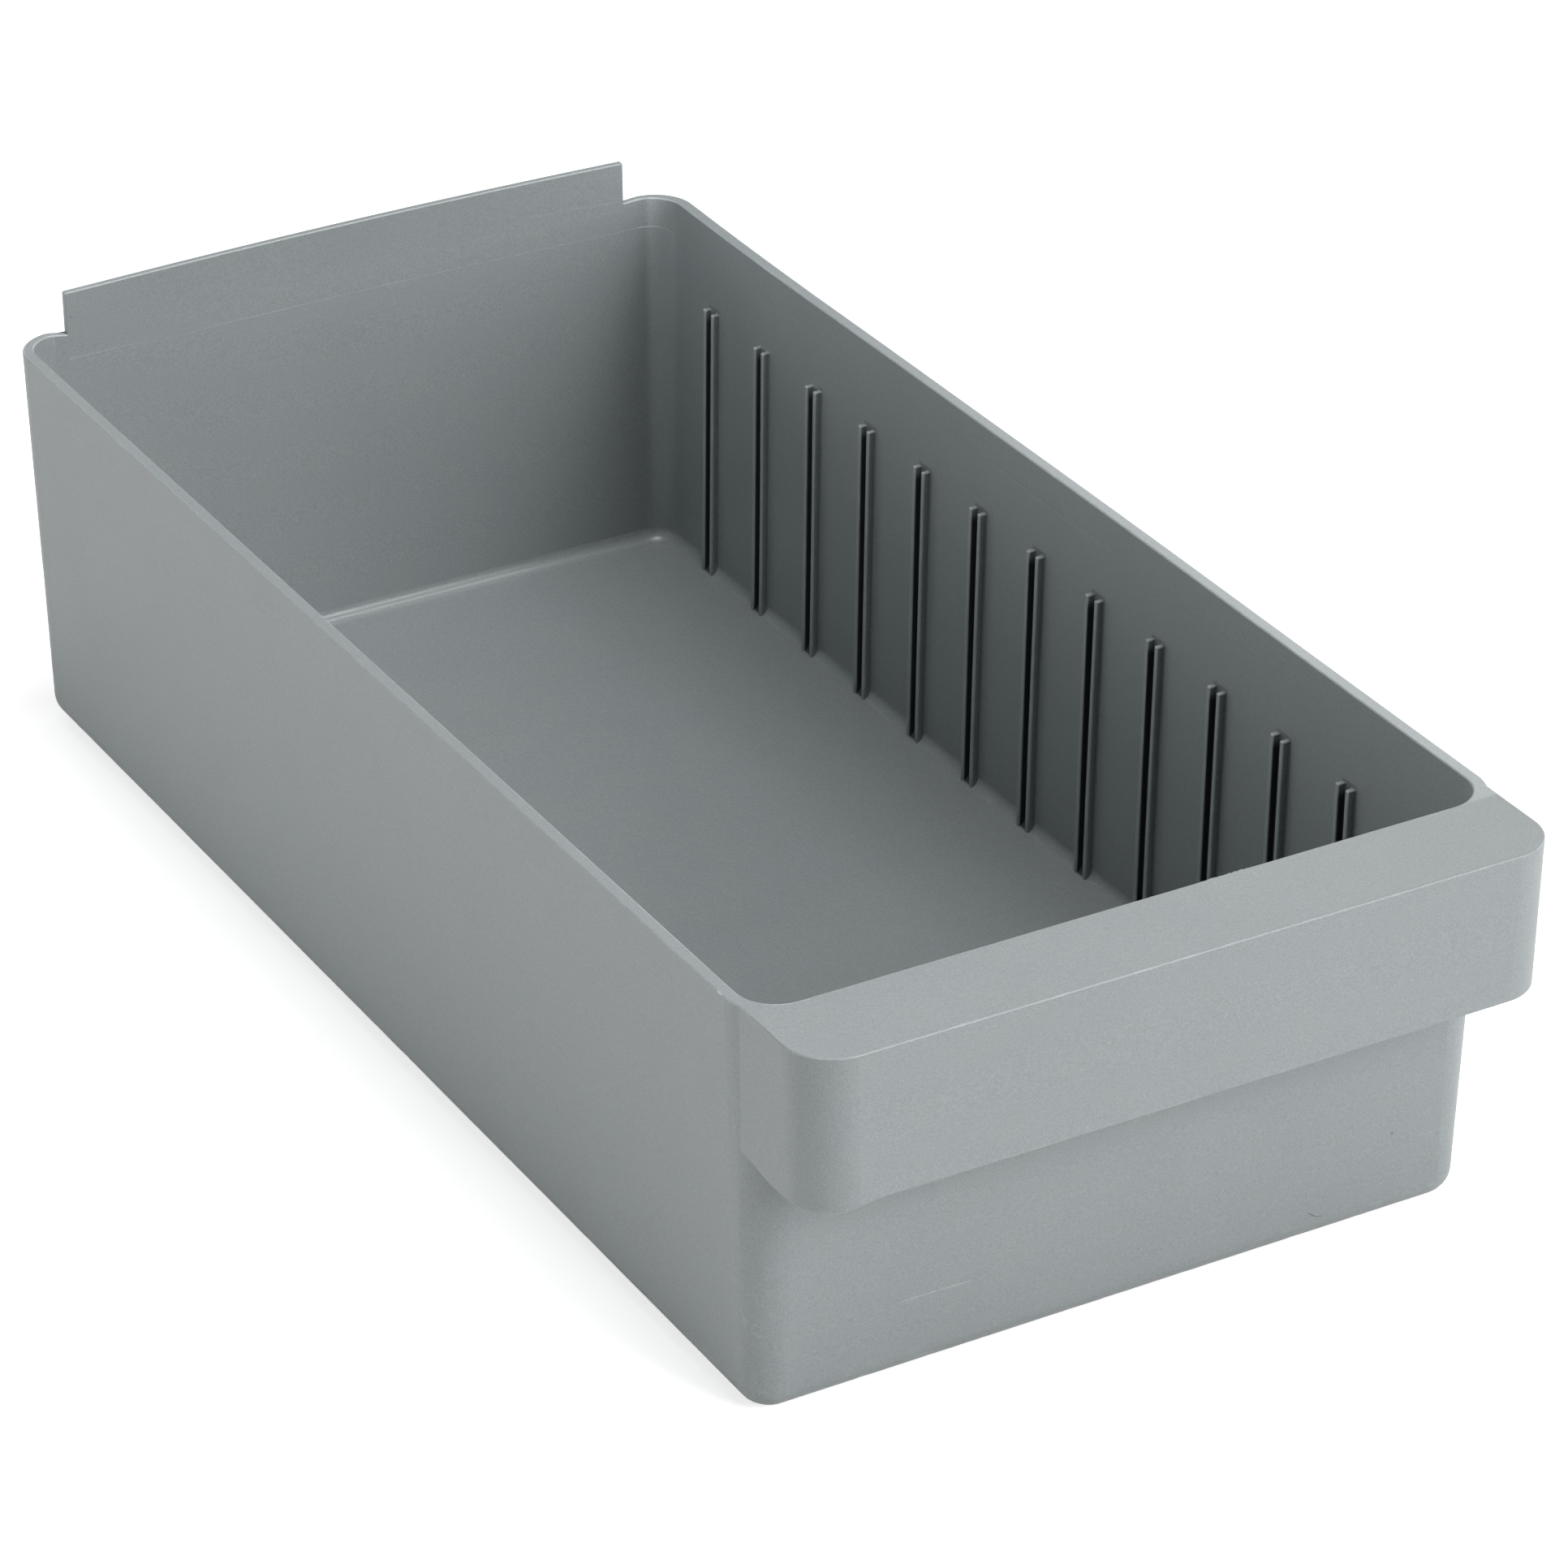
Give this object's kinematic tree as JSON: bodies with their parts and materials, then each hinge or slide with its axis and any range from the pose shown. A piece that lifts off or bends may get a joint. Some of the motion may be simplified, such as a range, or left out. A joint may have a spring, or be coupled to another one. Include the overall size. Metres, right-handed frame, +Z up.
{
  "type": "shelf drawer storage bin",
  "caption": "Open-topped tapered plastic storage bin with a full-width box-lip handle, rear stop tab and upright ribs inside the side walls for slide-in dividers.",
  "frame": {"origin": "centre of the overall footprint, on the plane of the flat underside", "axes": "+X across the width, -Y towards the handle at the front, +Y towards the stop tab at the back, +Z up"},
  "size_m": [0.2126, 0.4572, 0.1306],
  "materials": {
    "grey_plastic": "satin, fine moulded grain"
  },
  "bodies": {
    "root": {"bin_body": "grey_plastic"}
  },
  "joints": []
}
